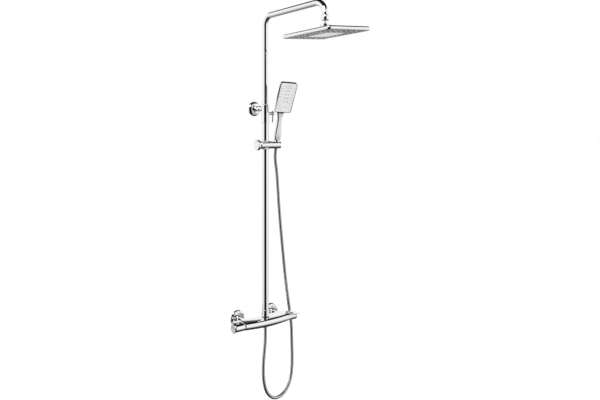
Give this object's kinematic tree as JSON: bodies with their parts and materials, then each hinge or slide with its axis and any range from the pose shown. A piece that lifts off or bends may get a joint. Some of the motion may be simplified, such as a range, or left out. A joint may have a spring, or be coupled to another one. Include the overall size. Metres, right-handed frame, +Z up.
{
  "type": "rainfall shower column",
  "caption": "Wall-mounted chrome shower column with a bar valve, telescopic riser, rectangular rain head, sliding holder, handset and looped hose.",
  "frame": {"origin": "point of the wall plane midway between the two wall inlets", "axes": "+Z up, +Y into the wall so -Y faces the user, +X to the right as the user faces the wall"},
  "size_m": [0.2978, 0.558, 1.4411],
  "materials": {
    "chrome": "polished",
    "chrome_plastic": "chrome-plated plastic",
    "brass": "machined",
    "rubber": "matt",
    "grey_plastic": "satin",
    "steel": "plain",
    "hose_metal": "interlocked spiral"
  },
  "bodies": {
    "column": {"valve_body": "chrome", "inlet_tail_hot": "brass", "inlet_tail_cold": "brass", "inlet_strainer_hot": "steel", "inlet_strainer_cold": "steel", "s_union_hot": "chrome", "s_union_cold": "chrome", "union_nut_hot": "chrome", "union_nut_cold": "chrome", "escutcheon_hot": "chrome", "escutcheon_cold": "chrome", "thermostatic_cartridge": "brass", "diverter_cartridge": "brass", "riser_nut": "chrome", "riser_seal": "rubber", "lower_riser_tube": "chrome", "height_lock_sleeve": "chrome", "bracket_plate": "steel", "bracket_flange": "chrome", "bracket_rod": "chrome", "bracket_screws": "steel", "hose_outlet_nut": "chrome", "hose_outlet_nipple": "brass", "hose_lower": "hose_metal", "hose_upper": "hose_metal"},
    "temperature_knob": {"temperature_spindle": "brass", "temperature_handle": "chrome", "temperature_cap": "chrome", "stop_button_spring": "steel"},
    "stop_button": {"temperature_stop_button": "chrome_plastic"},
    "flow_knob": {"flow_spindle": "brass", "flow_handle": "chrome", "flow_lever": "chrome", "flow_handle_cap": "chrome"},
    "tube_foot": {"tube_foot_bush": "grey_plastic", "slide_seals": "rubber"},
    "upper_arm": {"upper_riser_arm": "chrome", "head_nut": "chrome", "swivel_ball": "chrome"},
    "ball_seat": {"ball_seat": "rubber"},
    "ball_seal": {"ball_seal": "rubber"},
    "rain_head": {"head_collar": "chrome", "head_shell": "chrome", "head_face": "grey_plastic", "head_nozzles": "rubber"},
    "height_lock": {"lock_screw": "chrome", "lock_pin": "chrome"},
    "slider_liner": {"slider_liner": "grey_plastic"},
    "slider": {"slider_housing": "chrome"},
    "clamp": {"clamp_knob": "chrome_plastic", "clamp_screw": "steel"},
    "holder": {"handset_holder": "chrome", "holder_pivot": "brass"},
    "hose_end": {"hose_cone_nut": "chrome"},
    "handset": {"handset_shell": "chrome_plastic", "handset_face": "grey_plastic", "handset_nozzles": "rubber", "massage_nozzles": "rubber", "spray_button_spring": "steel"},
    "spray_button": {"spray_button": "chrome_plastic"}
  },
  "joints": [
    {"name": "temperature_turn", "type": "hinge", "parent": "column", "child": "temperature_knob", "pos_m": [0, -0.0825, -0.006], "axis": [1, 0, 0], "range_deg": [-90, 90]},
    {"name": "stop_button_press", "type": "slide", "parent": "temperature_knob", "child": "stop_button", "axis": [0, 0, -1], "range_m": [0, 0.0015], "stiffness_N_per_m": 800, "deforming": ["stop_button_spring"]},
    {"name": "flow_turn", "type": "hinge", "parent": "column", "child": "flow_knob", "pos_m": [0, -0.0825, -0.006], "axis": [1, 0, 0], "range_deg": [-90, 90]},
    {"name": "riser_height", "type": "slide", "parent": "column", "child": "tube_foot", "axis": [0, 0, 1], "range_m": [-0.15, 0.1]},
    {"name": "arm_swivel", "type": "hinge", "parent": "tube_foot", "child": "upper_arm", "pos_m": [0, -0.076, 0], "axis": [0, 0, 1], "range_deg": [-60, 60]},
    {"name": "head_pitch", "type": "hinge", "parent": "upper_arm", "child": "ball_seat", "pos_m": [0, -0.421, 1.03], "axis": [1, 0, 0], "range_deg": [-15, 15]},
    {"name": "head_roll", "type": "hinge", "parent": "ball_seat", "child": "ball_seal", "pos_m": [0, -0.421, 1.03], "axis": [0, 1, 0], "range_deg": [-15, 15]},
    {"name": "head_spin", "type": "hinge", "parent": "ball_seal", "child": "rain_head", "pos_m": [0, -0.421, 1.03], "axis": [-0.0785, 0, 0.9969], "continuous": true},
    {"name": "height_lock_turn", "type": "hinge", "parent": "column", "child": "height_lock", "pos_m": [0, -0.076, 0.757], "axis": [1, 0, 0], "range_deg": [0, 90]},
    {"name": "slider_height", "type": "slide", "parent": "column", "child": "slider_liner", "axis": [0, 0, 1], "range_m": [-0.5, 0.02], "deforming": ["hose_upper"]},
    {"name": "slider_swivel", "type": "hinge", "parent": "slider_liner", "child": "slider", "pos_m": [0, -0.076, 0], "axis": [0, 0, 1], "range_deg": [-40, 8]},
    {"name": "clamp_turn", "type": "hinge", "parent": "slider", "child": "clamp", "pos_m": [0, -0.076, 0.641], "axis": [1, 0, 0], "range_deg": [-90, 90]},
    {"name": "holder_tilt", "type": "hinge", "parent": "slider", "child": "holder", "pos_m": [0, -0.076, 0.641], "axis": [1, 0, 0], "range_deg": [-3, 35]},
    {"name": "handset_lift", "type": "slide", "parent": "holder", "child": "hose_end", "axis": [0, -0.2164, 0.9763], "range_m": [0, 0.04]},
    {"name": "handset_turn", "type": "hinge", "parent": "hose_end", "child": "handset", "pos_m": [0.0485, -0.076, 0.641], "axis": [0, -0.2164, 0.9763], "range_deg": [-45, 45]},
    {"name": "spray_button_press", "type": "slide", "parent": "handset", "child": "spray_button", "axis": [0.232, 0.8468, 0.4786], "range_m": [0, 0.0015], "stiffness_N_per_m": 800, "deforming": ["spray_button_spring"]}
  ]
}
